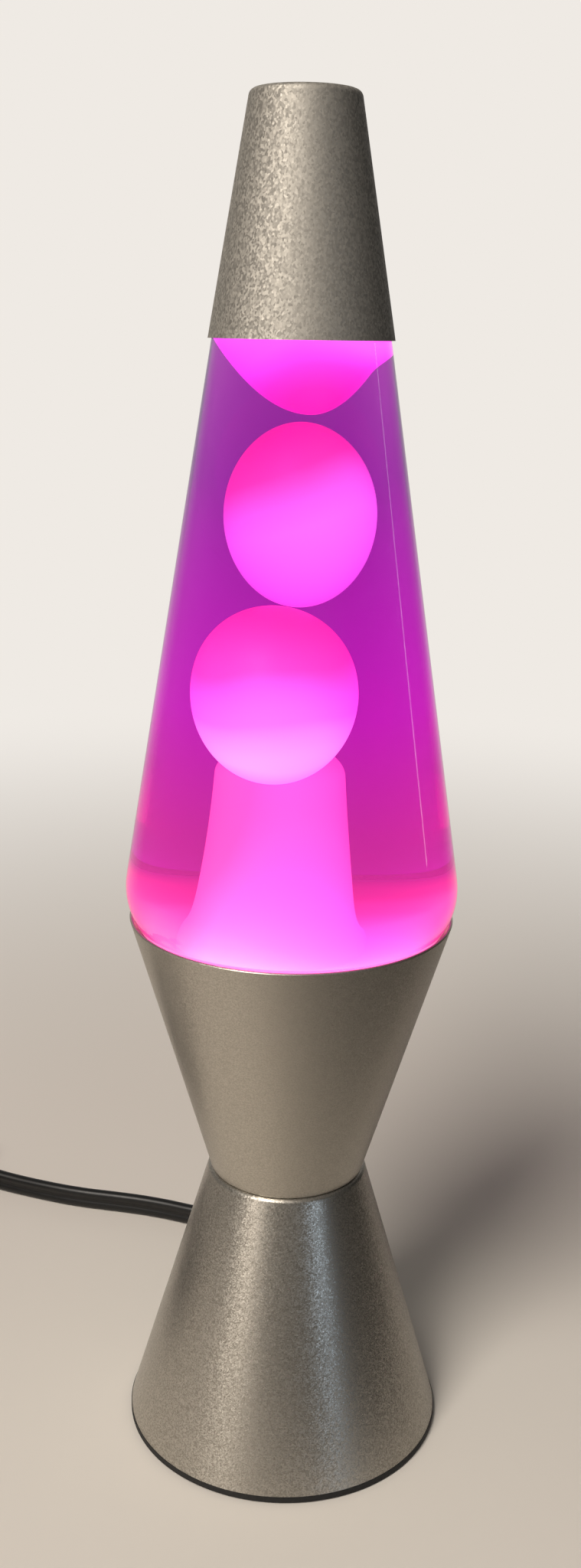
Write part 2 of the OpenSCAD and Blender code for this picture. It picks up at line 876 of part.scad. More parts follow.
// Wire wound into curls whose axis closes on itself in a ring
module heat_coil() {
    curl_r = (coil_curl_d - coil_wire_d) / 2;
    rings_n = 8 * coil_curls;
    path = [
        for (i = [0 : rings_n - 1])
            let (a = 360 * i / rings_n, b = a * coil_curls, r = coil_ring_d / 2 + curl_r * cos(b))
            [r * cos(a), r * sin(a), coil_z + curl_r * sin(b)]
    ];
    rings = [
        for (i = [0 : rings_n - 1])
            let (
                a = 360 * i / rings_n,
                b = a * coil_curls,
                t = unit(path[(i + 1) % rings_n] - path[(i + rings_n - 1) % rings_n]),
                out = [cos(a) * cos(b), sin(a) * cos(b), sin(b)],
                side = unit(cross(t, out)),
                up = cross(side, t)
            )
            [for (q = disc(coil_wire_d / 2, 6)) path[i] + side * q.x + up * q.y]
    ];
    neighbours = [
        for (i = [0 : rings_n - 1], j = [5 : 11])
            norm(path[i] - path[(i + j) % rings_n]) - coil_wire_d
    ];
    echo(heat_coil_least_gap = min(neighbours));
    color("#c0c0c0")
        tube(rings, closed = true);
}

// Cap
module cap() {
    low = [cap_r, cap_z];
    edge = [cap_top_r, cap_top_z];
    middle = [0, cap_top_z];
    low_in = low - [cap_wall, 0];
    edge_in = [cap_top_r - cap_wall + (cap_r - cap_top_r) / cap_h * cap_t, cap_top_z - cap_t];
    middle_in = [0, cap_top_z - cap_t];
    color("#a8a7a2")
        rotate_extrude()
            polygon(concat(
                [low],
                fillet(low, edge, middle, cap_round),
                [middle, middle_in],
                fillet(middle_in, edge_in, low_in, cap_round - cap_t / 2),
                [low_in]
            ));
}

// Cord
module cord_bushing() {
    color("#101010")
        difference() {
            union() {
                difference() {
                    at_exit()
                        translate([0, 0, -bushing_in / 2])
                            cylinder(r = bushing_flange_r, h = bushing_in / 2 + bushing_flange_t);
                    cylinder(r1 = base_r + fit_gap, r2 = rim_r + fit_gap, h = waist_h);
                }
                at_exit()
                    translate([0, 0, -bushing_in])
                        cylinder(r = bushing_r, h = bushing_in + bushing_flange_t);
                at_exit()
                    translate([0, 0, -bushing_in])
                        cylinder(r = bushing_r + 1, h = bushing_lock_t);
                at_exit()
                    cylinder(r1 = bushing_r, r2 = bushing_tail_r, h = bushing_out);
            }
            at_exit()
                cube([cord_t + 2 * fit_gap, cord_w + 2 * fit_gap, 4 * bushing_out], center = true);
        }
}

module cord_lamp_run() {
    color("#0c0c0c")
        tube(swept(lamp_route, twin(cord_w, cord_t)));
}

module cord_coil_run() {
    color("#0c0c0c")
        tube(swept(coil_route, twin(cord_w, cord_t)));
}

module cord_plug_run() {
    color("#0c0c0c")
        tube(swept(plug_route, twin(cord_w, cord_t)));
}

// The coil's centreline: in on the lower layer, up half a turn about the reversal, out on the upper
coil_steps = 24;
climb = 0.5;
function coil_r(t) = cord_coil_r - cord_pitch * min(t, cord_turns - t);
function ease(s) = let (c = min(1, max(0, s))) c * c * (3 - 2 * c);
function coil_height(t) = coil_low_z + layer_step * ease((t - cord_turns / 2) / climb + 0.5);
function coil_point(t) = [
    coil_at.x - coil_r(t) * cos(360 * t),
    coil_at.y - coil_r(t) * sin(360 * t),
    coil_height(t)
];

module cord_coil() {
    n = coil_steps * cord_turns;
    path = [for (i = [0 : n]) coil_point(i / coil_steps)];
    tangents = [
        for (i = [0 : n])
            i == 0 || i == n ? [0, -1, 0] : unit(path[i + 1] - path[i - 1])
    ];
    section = six(cord_w, cord_t);
    rings = [for (i = [0 : n]) ring_at(path[i], tangents[i], section)];
    gaps = [
        for (i = [0 : n], lap = [1 : cord_turns])
            let (j = i + lap * coil_steps)
            if (j <= n)
                six_gap(path[j] - path[i], cord_w, cord_t)
    ];
    echo(cord_coil_least_gap = min(gaps));
    color("#0c0c0c")
        tube(rings);
}

// Strap around the coil's bundle at its right side, half a turn from its start
module cord_tie() {
    side_t = 0.5;
    inmost_t = floor(cord_turns / 2 - side_t) + side_t;
    slack = 4 * fit_gap;
    wide = 9;
    sag = wide / 2 * tan(180 / coil_steps);
    inner_r = coil_r(inmost_t) - cord_t / 2 - sag - slack;
    outer_r = coil_r(side_t) + cord_t / 2 + slack;
    high = coil_low_z + layer_step + cord_w / 2 + slack / 2;
    color("#181818")
        translate([coil_at.x, coil_at.y, 0])
            difference() {
                translate([inner_r - tie_t, -wide / 2, 0])
                    cube([outer_r - inner_r + 2 * tie_t, wide, high + tie_t]);
                translate([inner_r, -wide, tie_t])
                    cube([outer_r - inner_r, 2 * wide, high - tie_t]);
            }
}

// Switch on the cord, in two halves with a rocker between
module rounded_box(l, w, h, r) {
    translate([-l / 2 + r, -w / 2, 0])
        cube([l - 2 * r, w, h]);
    translate([-l / 2, -w / 2 + r, 0])
        cube([l, w - 2 * r, h]);
    for (x = [-1, 1], y = [-1, 1])
        translate([x * (l / 2 - r), y * (w / 2 - r), 0])
            cylinder(r = r, h = h);
}

module switch_screw_places() {
    for (x = [-1, 1])
        translate([x * switch_screw_x, -x * switch_w / 4, 0])
            children();
}

module switch_base() {
    color("#111111")
        translate(switch_mid)
            difference() {
                union() {
                    difference() {
                        rounded_box(switch_l, switch_w, switch_split_z, switch_round);
                        translate([0, 0, switch_wall])
                            rounded_box(
                                switch_l - 2 * switch_wall, switch_w - 2 * switch_wall,
                                switch_h, switch_round - switch_wall
                            );
                    }
                    switch_screw_places()
                        cylinder(r = switch_post_r, h = switch_split_z);
                    for (side = [-1, 1])
                        translate([0, side * (pivot_l / 2 - lug_t / 2), 0]) {
                            translate([-lug_r, -lug_t / 2, eps])
                                cube([2 * lug_r, lug_t, pivot_z]);
                            translate([0, 0, pivot_z])
                                rotate([90, 0, 0])
                                    cylinder(r = lug_r, h = lug_t, center = true);
                        }
                }
                switch_screw_places() {
                    translate([0, 0, -1])
                        cylinder(r = switch_screw_r + fit_gap, h = switch_h);
                    translate([0, 0, -1])
                        cylinder(r = switch_screw_head_r + fit_gap, h = 1 + switch_screw_head_h + fit_gap);
                }
                translate([0, 0, pivot_z])
                    rotate([90, 0, 0])
                        cylinder(r = pivot_r + pivot_gap, h = 2 * pivot_l, center = true);
            }
}

module switch_cover() {
    lid = switch_h - switch_split_z;
    color("#151515")
        translate(switch_mid)
            difference() {
                union() {
                    translate([0, 0, switch_split_z])
                        difference() {
                            rounded_box(switch_l, switch_w, lid, switch_round);
                            translate([0, 0, -eps])
                                rounded_box(
                                    switch_l - 2 * switch_wall, switch_w - 2 * switch_wall,
                                    lid - switch_wall, switch_round - switch_wall
                                );
                        }
                    switch_screw_places()
                        translate([0, 0, switch_split_z])
                            cylinder(r = switch_post_r, h = lid - eps);
                }
                translate([-rocker_l / 2 - 3 * move_gap, -pivot_l / 2 - move_gap, switch_split_z])
                    cube([rocker_l + 6 * move_gap, pivot_l + 2 * move_gap, switch_h]);
                switch_screw_places()
                    cylinder(r = switch_screw_r - fit_gap, h = switch_h - switch_wall);
            }
}

module switch_screws() {
    color("gray")
        translate(switch_mid)
            switch_screw_places() {
                cylinder(r = switch_screw_head_r, h = switch_screw_head_h);
                cylinder(r = switch_screw_r - 2 * fit_gap, h = switch_h - 2 * switch_wall);
            }
}

module switch_rocker() {
    half = rocker_l / 2;
    bend = rocker_h / 2;
    dip = 0.8;
    toe = 1;
    outline = [
        [-half, bend], [0, bend - dip], [half, bend],
        [half - toe, -bend / 2], [0, -bend], [toe - half, -bend / 2]
    ];
    color("#1c1c1c")
        translate(switch_mid + [0, 0, pivot_z])
            rotate([90, 0, 0]) {
                linear_extrude(rocker_w, center = true)
                    rotate(rocker_tilt)
                        polygon(outline);
                cylinder(r = pivot_r, h = pivot_l, center = true);
            }
}

// Plug, built from the middle of its face, with the cord behind
module at_plug() {
    translate(plug_at - [0, plug_l, 0])
        children();
}

module plug_body() {
    grip = 6;
    ribs_n = 4;
    rib_step = 4;
    rib_at = 9;
    rib = 1.6;
    color("#121212")
        at_plug()
            difference() {
                union() {
                    translate([-plug_w / 2 + plug_round, 0, -plug_t / 2])
                        cube([plug_w - 2 * plug_round, plug_l - grip, plug_t]);
                    translate([-plug_w / 2, 0, -plug_t / 2 + plug_round])
                        cube([plug_w, plug_l - grip, plug_t - 2 * plug_round]);
                    for (x = [-1, 1], z = [-1, 1])
                        translate([x * (plug_w / 2 - plug_round), 0, z * (plug_t / 2 - plug_round)])
                            rotate([-90, 0, 0])
                                cylinder(r = plug_round, h = plug_l - grip);
                    translate([0, plug_l - grip - eps, 0])
                        rotate([-90, 0, 0])
                            cylinder(r = cord_w / 2 + 1.6, h = grip + eps);
                }
                for (x = [-1, 1])
                    translate([x * blade_step / 2, 0, 0])
                        cube([blade_t + fit_gap, 2 * blade_root, blade_w + fit_gap], center = true);
                for (x = [-1, 1], i = [0 : ribs_n - 1])
                    translate([x * plug_w / 2, rib_at + rib_step * i, 0])
                        cube([rib, rib, plug_t * 0.6], center = true);
            }
}

module plug_blades() {
    color("#d6c27a")
        at_plug()
            for (x = [-1, 1])
                translate([x * blade_step / 2, 0, 0])
                    difference() {
                        translate([-blade_t / 2, -blade_l, -blade_w / 2])
                            cube([blade_t, blade_l + blade_root - fit_gap, blade_w]);
                        translate([0, 4 - blade_l, 0])
                            rotate([0, 90, 0])
                                cylinder(r = blade_hole_r, h = 2 * blade_t, center = true);
                    }
}

base_cone();
foot_ring();
base_cover();
cover_screws();
globe_cup();
waist_rivets();
socket_body();
socket_shell();
socket_contact();
socket_terminals();
socket_leads();
bulb_glass();
bulb_base_shell();
bulb_insulator();
bulb_contact();
bulb_stem();
bulb_filament();
glass_globe();
crown_cap();
crown_seal();
liquid();
heat_coil();
wax_column();
wax_blob_lower();
wax_blob_upper();
wax_top();
cap();
cord_bushing();
cord_lamp_run();
cord_coil_run();
cord_coil();
cord_plug_run();
cord_tie();
switch_base();
switch_cover();
switch_rocker();
switch_screws();
plug_body();
plug_blades();
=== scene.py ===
import bpy
import numpy as np
from mathutils import Matrix


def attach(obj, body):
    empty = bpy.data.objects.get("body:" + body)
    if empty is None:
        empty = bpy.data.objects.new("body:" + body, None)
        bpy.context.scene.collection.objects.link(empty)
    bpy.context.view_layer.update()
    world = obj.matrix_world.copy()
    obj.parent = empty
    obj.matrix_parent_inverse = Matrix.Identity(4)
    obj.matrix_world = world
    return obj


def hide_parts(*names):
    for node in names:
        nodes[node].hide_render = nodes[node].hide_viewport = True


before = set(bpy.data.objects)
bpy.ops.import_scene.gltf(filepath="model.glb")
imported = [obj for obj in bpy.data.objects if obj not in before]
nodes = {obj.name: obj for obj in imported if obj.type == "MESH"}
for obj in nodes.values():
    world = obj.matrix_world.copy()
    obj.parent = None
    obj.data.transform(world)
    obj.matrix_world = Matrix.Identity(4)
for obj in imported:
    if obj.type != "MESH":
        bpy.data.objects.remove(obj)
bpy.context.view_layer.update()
bpy.context.scene.view_settings.view_transform = "Standard"
mm = 0.001  # shapes are worked out in millimetres, the scene is in metres
print("frame loaded:", len(nodes), "nodes")


# Small tools

def tint(code):
    # sRGB hex to linear: below 0.04045 a straight line, above it the 2.4 power curve
    s = np.array([int(code[i:i + 2], 16) for i in (1, 3, 5)]) / 255
    return (*np.where(s <= 0.04045, s / 12.92, ((s + 0.055) / 1.055) ** 2.4), 1.0)


def addNode(tree, kind, inputs=None, stops=None, **settings):
    # one node with its settings, its sockets' links or constants, and a ramp's stops
    node = tree.nodes.new(kind)
    for key, value in settings.items():
        setattr(node, key, value)
    for key, value in (inputs or {}).items():
        if isinstance(value, bpy.types.NodeSocket):
            tree.links.new(value, node.inputs[key])
        else:
            node.inputs[key].default_value = value
    if stops:
        ramp = node.color_ramp.elements
        while len(ramp) < len(stops):
            ramp.new(1.0)
        for spot, (share, code) in zip(ramp, stops):
            spot.position, spot.color = share, tint(code)
    return node


def newMaterial(name):
    material = bpy.data.materials.new(name)
    material.use_nodes = True
    material.node_tree.nodes.clear()
    return material, material.node_tree


def finishMaterial(tree, inputs, volume=None):
    shader = addNode(tree, "ShaderNodeBsdfPrincipled", inputs)
    ends = {"Surface": shader.outputs["BSDF"]}
    if volume:
        ends["Volume"] = volume
    addNode(tree, "ShaderNodeOutputMaterial", ends)


def makePiece(name, points, faces, material):
    mesh = bpy.data.meshes.new(name)
    mesh.from_pydata(points.tolist(), [], faces)
    mesh.polygons.foreach_set("use_smooth", np.ones(len(mesh.polygons), bool))
    mesh.materials.append(material)
    mesh.update()
    piece = bpy.data.objects.new(name, mesh)
    bpy.context.scene.collection.objects.link(piece)
    return piece


def place(thing, right, above, back, at):
    # a camera or a lamp looks against its own z axis, so back points from its target to it
    turn = np.eye(4)
    turn[:3] = np.stack([right, above, back, at], 1)
    thing.matrix_world = Matrix(turn.tolist())
    bpy.context.scene.collection.objects.link(thing)


def unit(v):
    # each vector divided by its own length
    return v / np.linalg.norm(v, axis=-1, keepdims=True)


def ease(s):
    # 0 to 1 with a level start and end: s^2 (3 - 2 s)
    s = np.clip(s, 0, 1)
    return s * s * (3 - 2 * s)


flipped = [0, 3, 2, 1]  # order of a quad's corners that turns it over


def bandFaces(rings, steps, first=0):
    # quads between rings of steps points each, numbered one ring after the other from first
    j = np.arange(steps)
    k = (j + 1) % steps
    start = first + steps * np.arange(rings - 1)[:, None]
    return np.stack([start + j, start + k, start + steps + k, start + steps + j], -1).reshape(-1, 4)


def closedRows(rows):
    # rows of rings from one pole to the other; the first and last row are one point each
    count, steps = rows.shape[:2]
    points = np.concatenate([rows[:1, 0], rows[1:-1].reshape(-1, 3), rows[-1:, 0]])
    j = np.arange(steps)
    k = (j + 1) % steps
    last = 1 + steps * (count - 3)
    low = np.stack([0 * j, 1 + k, 1 + j], -1)
    high = np.stack([last + j, last + k, 0 * j + len(points) - 1], -1)
    return points, low.tolist() + bandFaces(count - 2, steps, 1).tolist() + high.tolist()


def turned(profile, steps, middle=None):
    # each profile point (r, z) carried round its row's middle: (mx + r cos a, my + r sin a, z)
    a = np.linspace(0, 2 * np.pi, steps, endpoint=False)
    r, z = np.asarray(profile, float).T
    middle = np.zeros((len(r), 2)) if middle is None else np.asarray(middle, float)
    x = middle[:, :1] + r[:, None] * np.cos(a)
    y = middle[:, 1:] + r[:, None] * np.sin(a)
    return np.stack([x, y, np.broadcast_to(z[:, None], x.shape)], -1) * mm


def roundCorner(a, p, b, r, count=8):
    # arc of radius r that touches the lines p-a and p-b, its middle r / sin(half angle) from p
    a, p, b = (np.asarray(q, float) for q in (a, p, b))
    u, v = unit(a - p), unit(b - p)
    half = np.arccos(np.clip(u @ v, -1, 1)) / 2
    c = p + unit(u + v) * r / np.sin(half)
    begin, end = (p + d * r / np.tan(half) - c for d in (u, v))
    first = np.arctan2(begin[1], begin[0])
    sweep = (np.arctan2(end[1], end[0]) - first + np.pi) % (2 * np.pi) - np.pi
    w = first + sweep * np.linspace(0, 1, count)
    return c + r * np.stack([np.cos(w), np.sin(w)], -1)


# Camera at the photograph's viewpoint, for a frame of 759 x 2048

camera = {
    "at": (0.0, -0.41227, 0.31085),  # m
    "down": 15.995, "roll": 1.007, "yaw": -0.113,  # degrees
    "lens": 36.69, "sensor": 36.0,  # mm
    "nearest": 0.01, "farthest": 50,  # m
}


def makeCamera(c):
    # line of sight turned by yaw about the upright and tipped down, then the view rolled about it
    down, roll, yaw = np.radians([c["down"], c["roll"], c["yaw"]])
    ahead = np.array([np.sin(yaw) * np.cos(down), np.cos(yaw) * np.cos(down), -np.sin(down)])
    side = np.array([np.cos(yaw), -np.sin(yaw), 0.0])
    over = np.cross(side, ahead)
    right = np.cos(roll) * side + np.sin(roll) * over
    above = np.cos(roll) * over - np.sin(roll) * side
    data = bpy.data.cameras.new("camera")
    data.sensor_fit, data.sensor_width, data.lens = "AUTO", c["sensor"], c["lens"]
    data.clip_start, data.clip_end = c["nearest"], c["farthest"]
    eye = bpy.data.objects.new("camera", data)
    place(eye, right, above, -ahead, c["at"])
    bpy.context.scene.camera = eye


makeCamera(camera)
print("camera placed")


# Lacquers of base, cup and cap

lacquers = {
    "silver flake lacquer": {
        "pale": "#c1bcb3", "dull": "#9d988f", "flakeMm": 0.32, "stretch": 1.0, "rough": 0.35, "tilt": 0.12},
    "satin silver lacquer": {
        "pale": "#c8c2b7", "dull": "#b2aca1", "flakeMm": 0.26, "stretch": 1.0, "rough": 0.38, "tilt": 0.11},
    "hammered silver lacquer": {
        "pale": "#c5c0b7", "dull": "#9b9790", "flakeMm": 0.44, "stretch": 1.4, "rough": 0.66, "tilt": 0.18},
}


def flakeLacquer(name, coat, metallic=0.92, uneven=0.06):
    # sprayed aluminium-flake lacquer: every flake lies at its own small angle and has its own grey,
    # so the light breaks into fine grains; real flakes are about 0.05 mm, too fine to show here, so
    # they are drawn five to nine times as wide
    material, tree = newMaterial(name)
    where = addNode(tree, "ShaderNodeTexCoord").outputs["Object"]
    spread = addNode(tree, "ShaderNodeVectorMath", {
        0: where, 1: (1, 1, 1 / coat["stretch"])}, operation="MULTIPLY")
    flakes = addNode(tree, "ShaderNodeTexVoronoi", {
        "Vector": spread.outputs["Vector"], "Scale": 1000 / coat["flakeMm"]})
    parts = addNode(tree, "ShaderNodeSeparateColor", {"Color": flakes.outputs["Color"]})
    colour = addNode(tree, "ShaderNodeValToRGB", {
        "Fac": parts.outputs["Red"]}, stops=[(0.1, coat["dull"]), (0.9, coat["pale"])])
    rough = addNode(tree, "ShaderNodeMapRange", {
        "Value": parts.outputs["Green"],
        "To Min": coat["rough"] - uneven, "To Max": coat["rough"] + uneven})
    angle = addNode(tree, "ShaderNodeVectorMath", {
        0: flakes.outputs["Color"], 1: (0.5, 0.5, 0.5)}, operation="SUBTRACT")
    lean = addNode(tree, "ShaderNodeVectorMath", {
        0: angle.outputs["Vector"], "Scale": coat["tilt"]}, operation="SCALE")
    facing = addNode(tree, "ShaderNodeNewGeometry").outputs["Normal"]
    leaned = addNode(tree, "ShaderNodeVectorMath", {0: facing, 1: lean.outputs["Vector"]}, operation="ADD")
    normal = addNode(tree, "ShaderNodeVectorMath", {0: leaned.outputs["Vector"]}, operation="NORMALIZE")
    finishMaterial(tree, {
        "Base Color": colour.outputs["Color"], "Metallic": metallic,
        "Roughness": rough.outputs["Result"], "Normal": normal.outputs["Vector"]})
    return material


baseLacquer, cupLacquer, capLacquer = (flakeLacquer(name, coat) for name, coat in lacquers.items())


# Materials of the small parts

def plainSurface(name, code, other, grainMm, rough, metallic=0.0, bump=0.15, ior=None, glow=None):
    # moulded, cast or rolled stock: a little unevenness of colour and gloss at the grain's size
    uneven, leastRough, bumpMm = 0.08, 0.02, 0.1
    material, tree = newMaterial(name)
    where = addNode(tree, "ShaderNodeTexCoord").outputs["Object"]
    grain = addNode(tree, "ShaderNodeTexNoise", {"Vector": where, "Scale": 1000 / grainMm, "Detail": 4.0})
    colour = addNode(tree, "ShaderNodeValToRGB", {
        "Fac": grain.outputs["Fac"]}, stops=[(0.3, code), (0.7, other)])
    gloss = addNode(tree, "ShaderNodeMapRange", {
        "Value": grain.outputs["Fac"], "To Min": max(leastRough, rough - uneven), "To Max": rough + uneven})
    normal = addNode(tree, "ShaderNodeBump", {
        "Height": grain.outputs["Fac"], "Strength": bump, "Distance": bumpMm * mm})
    inputs = {
        "Base Color": colour.outputs["Color"], "Metallic": metallic,
        "Roughness": gloss.outputs["Result"], "Normal": normal.outputs["Normal"]}
    if ior:
        inputs["IOR"] = ior
    if glow:
        inputs.update({"Emission Color": tint(glow[0]), "Emission Strength": glow[1]})
    finishMaterial(tree, inputs)
    return material


# matt: smooth black rubber, board with a coarser tooth, fine-grained black plastic and tan rubber
footRubber = plainSurface("moulded black rubber", "#161616", "#0d0d0d", 0.8, 0.7, ior=1.52)
coverBoard = plainSurface("black pressed fibreboard", "#232220", "#171614", 1.2, 0.85, bump=0.4, ior=1.5)
blackAbs = plainSurface("black moulded plastic", "#161617", "#101011", 0.25, 0.5, bump=0.3, ior=1.54)
sealRubber = plainSurface("cork-tan seal rubber", "#c6b79e", "#b3a388", 0.7, 0.8, ior=1.52)
# bright metals with the soft grey or yellow clouds that plating, heading and rolling leave
screwSteel = plainSurface("zinc plated steel", "#a9a9a6", "#8d8d8b", 0.6, 0.35, metallic=1.0)
rivetAluminium = plainSurface("headed aluminium rivet", "#b9b9b6", "#9b9b98", 0.5, 0.4, metallic=1.0)
screwBase = plainSurface("rolled aluminium screw base", "#c9c6bf", "#aeaaa2", 0.7, 0.3, metallic=1.0)
tinplate = plainSurface("tinplate crown", "#bdbcb7", "#a3a29d", 0.8, 0.3, metallic=1.0)
pressedBrass = plainSurface("pressed brass", "#c79a4e", "#a97f3c", 0.9, 0.32, metallic=1.0)
bladeBrass = plainSurface("plated brass blade", "#cdbb84", "#b3a06a", 0.6, 0.3, metallic=1.0)
# off-white porcelain and wire covering, glossy black glass, and the wire that glows
porcelain = plainSurface("unglazed porcelain", "#e6dfcd", "#d9d0bb", 1.0, 0.5, ior=1.5)
wirePvc = plainSurface("white wire insulation", "#e9e8e2", "#dcdad2", 1.5, 0.45, ior=1.53)
blackGlass = plainSurface("black glass insulator", "#15151a", "#0e0e12", 1.0, 0.12, ior=1.52)
tungsten = plainSurface(
    "hot tungsten wire", "#ffd9a0", "#ffcf8a", 0.3, 0.5, metallic=1.0, glow=("#ffc070", 3.0))
print("lacquers and small materials made")


# Glass and liquid

globe = {
    "wideR": 45.1, "wideZ": 164.6, "heel": 18.0, "punt": 3.0, "puntShare": 7 / 8,
    "bareZ": 307.7, "topR": 22.4, "wall": 2.6,
    "shoulderRun": 3.0, "shoulderRound": 5.0, "leastRound": 1.0,
    "neckR": 12.2, "neckH": 9.0, "neckRound": 2.0,
    "mouthZ": 328.39, "ringH": 3.0, "ringOut": 1.0,
    "ringEdge": ((0.0, 0.6), (0.3, 0.15), (0.8, 0.0)),  # in from the ring, down from the mouth
    "fillZ": 310.7, "fillEdge": 0.2,  # the liquid's top, and how far below it the side's rows end
    "steps": 128,
    "soak": 0.12,  # the liquid reaches this far into the glass, so no air shows between
}
bends = {"glass": 1.5, "water": 1.34}  # index of refraction
dye = {
    "keeps": "#d200d6", "perMetre": 84.5,  # light that the dye lets pass, and its strength
    "lowZ": 150, "highZ": 300,  # the glow's stops run between these heights
    "stops": [
        (0.0, "#ce3b89"), (0.23, "#bf2a8a"), (0.45, "#ac169e"), (0.83, "#4c035a"), (1.0, "#440352")],
}


def glassMaterial(name, roughness=0.0, ior=bends["glass"]):
    # soda-lime glass: clear and smooth from the fire, a little hazy where it was pressed
    material, tree = newMaterial(name)
    finishMaterial(tree, {
        "Base Color": tint("#ffffff"), "Roughness": roughness, "IOR": ior, "Transmission Weight": 1.0})
    return material


def dyedLiquid(name, d):
    # water dyed violet: it swallows green first, so a deeper path is a darker violet, and it glows faintly
    # with the bulb's light, most near the bulb; light bends at the wet face of the glass, so the water's
    # own skin bends nothing
    material, tree = newMaterial(name)
    where = addNode(tree, "ShaderNodeTexCoord").outputs["Object"]
    height = addNode(tree, "ShaderNodeSeparateXYZ", {"Vector": where}).outputs["Z"]
    share = addNode(tree, "ShaderNodeMapRange", {
        "Value": height, "From Min": d["lowZ"] * mm, "From Max": d["highZ"] * mm})
    glow = addNode(tree, "ShaderNodeValToRGB", {"Fac": share.outputs["Result"]}, stops=d["stops"])
    depth = addNode(tree, "ShaderNodeVolumeAbsorption", {
        "Color": tint(d["keeps"]), "Density": d["perMetre"]})
    finishMaterial(tree, {
        "Base Color": tint("#ffffff"), "Roughness": 0.0, "IOR": 1.0, "Transmission Weight": 1.0,
        "Emission Color": glow.outputs["Color"], "Emission Strength": 1.0},
        depth.outputs["Volume"])
    return material


def sideSlope(g):
    # how much the radius shrinks for each millimetre of height
    return (g["wideR"] - g["topR"]) / (g["bareZ"] - g["wideZ"])


def globeSide(g, inset):
    # half outline, moved in by inset: a floor pushed up by punt (1 + cos(pi x)) / 2, the heel's arc,
    # the straight side, a round shoulder, a slope of 45 degrees and the round foot of the neck
    slope = sideSlope(g)
    tilt = np.arctan(slope)
    heelC = g["wideR"] - g["heel"]
    low = g["wideZ"] - g["heel"] + inset
    x = np.linspace(0, 1, 14)
    floor = np.stack([
        x * heelC * g["puntShare"], low + g["punt"] * (1 + np.cos(np.pi * x)) / 2], -1)
    w = np.linspace(-np.pi / 2, tilt, 36)
    heel = np.array([heelC, g["wideZ"]]) + (g["heel"] - inset) * np.stack([np.cos(w), np.sin(w)], -1)
    shoulderZ = g["bareZ"] + g["shoulderRun"]
    shoulderR = g["topR"] - slope * g["shoulderRun"]
    shoulder = (shoulderR - inset / np.cos(tilt), shoulderZ)
    neck = np.array([g["neckR"] - inset, shoulderZ + shoulderR - g["neckR"]])
    over = roundCorner(heel[-1], shoulder, neck, max(g["leastRound"], g["shoulderRound"] - inset), 12)
    foot = roundCorner(shoulder, neck, neck + [0, g["neckH"]], g["neckRound"])
    side = heel[-1] + (over[0] - heel[-1]) * np.linspace(0, 1, 40)[1:-1, None]
    return np.concatenate([floor, heel, side, over, foot])


def makeGlobe(g, material, wetMaterial):
    # up the outer line, over the ring at the mouth and down the inner line, turned about the axis;
    # the inside is wet below the fill
    outer, inner = globeSide(g, 0.0), globeSide(g, g["wall"])
    mouthZ, ringR = g["mouthZ"], g["neckR"] + g["ringOut"]
    ring = np.array([
        [g["neckR"], mouthZ - g["ringH"] - g["ringOut"]], [ringR, mouthZ - g["ringH"]],
        *([ringR - inward, mouthZ - down] for inward, down in g["ringEdge"]),
        [g["neckR"] - g["wall"], mouthZ]])
    profile = np.concatenate([outer, ring, inner[::-1]])
    piece = makePiece("glassGlobe", *closedRows(turned(profile, g["steps"])), material)
    piece.data.materials.append(wetMaterial)
    dry = len(outer) + len(ring) + int((inner[:, 1] >= g["fillZ"]).sum())
    row = np.arange(len(piece.data.polygons)) // g["steps"]
    piece.data.polygons.foreach_set("material_index", (row >= dry).astype(np.int32))
    return piece


def makeLiquid(g, material):
    # the glass's inner line up to the fill, then straight in to the axis
    side = globeSide(g, g["wall"] - g["soak"])
    kept = side[side[:, 1] < g["fillZ"] - g["fillEdge"]]
    top = np.linspace(1, 0, 8)[:, None] * [kept[-1, 0], 0] + [0, g["fillZ"]]
    return makePiece("violetLiquid", *closedRows(turned(np.concatenate([kept, top]), g["steps"])), material)


clearGlass = glassMaterial("drawn clear glass")
wetGlass = glassMaterial("clear glass wet inside", 0.0, bends["glass"] / bends["water"])
violetWater = dyedLiquid("violet dyed water", dye)
glassGlobe = makeGlobe(globe, clearGlass, wetGlass)
violetLiquid = makeLiquid(globe, violetWater)
print("globe and liquid made")


# Wax: each glow runs from near to far, in mm from the place where the light enters

waxes = {
    "lower": {
        "name": "lower blob wax", "source": (-2, -16, 136), "near": 60, "far": 106, "strength": 1.62,
        "stops": [
            (0.0, "#ffffff"), (0.2, "#ffffff"), (0.34, "#ffc5f6"), (0.47, "#ff87ee"), (0.62, "#ff6cc8"),
            (0.74, "#ff478b"), (1.0, "#ff3676")]},
    "upper": {
        "name": "upper blob wax", "source": (25, 0, 185), "near": 58, "far": 103, "strength": 1.72,
        "stops": [
            (0.0, "#ffa2f6"), (0.5, "#ffa0f6"), (0.64, "#ff8be4"), (0.8, "#ff50a2"), (1.0, "#ff3c93")]},
    "column": {
        "name": "column wax", "source": (14, -30, 150), "near": 8, "far": 46, "strength": 2.95,
        "weights": (0.75, 0.8, 0.35),
        # film: a dimmer plain pink glow painted where the wax meets the glass and under the pool
        "film": {"inner": 36.0, "outer": 39.5, "low": 152.4, "high": 153.6, "tint": "#9c3c74"},
        "stops": [
            (0.0, "#e7bedd"), (0.25, "#f0d4dc"), (0.5, "#f5e2c3"), (0.64, "#f7d3a9"), (0.85, "#ffe7a0"),
            (1.0, "#ffb98a")]},
    "top": {
        "name": "top wax", "source": (2, -8, 292), "near": 4, "far": 18, "strength": 1.5,
        "stops": [(0.0, "#ff36b4"), (0.45, "#ff40cc"), (1.0, "#ff5af6")]},
}
paraffin = {
    "tint": "#c0287c", "rough": 0.4, "ior": 1.44,
    "swirl": 38, "shift": 16,  # size of the swirl, and how far it moves the glow, mm
}
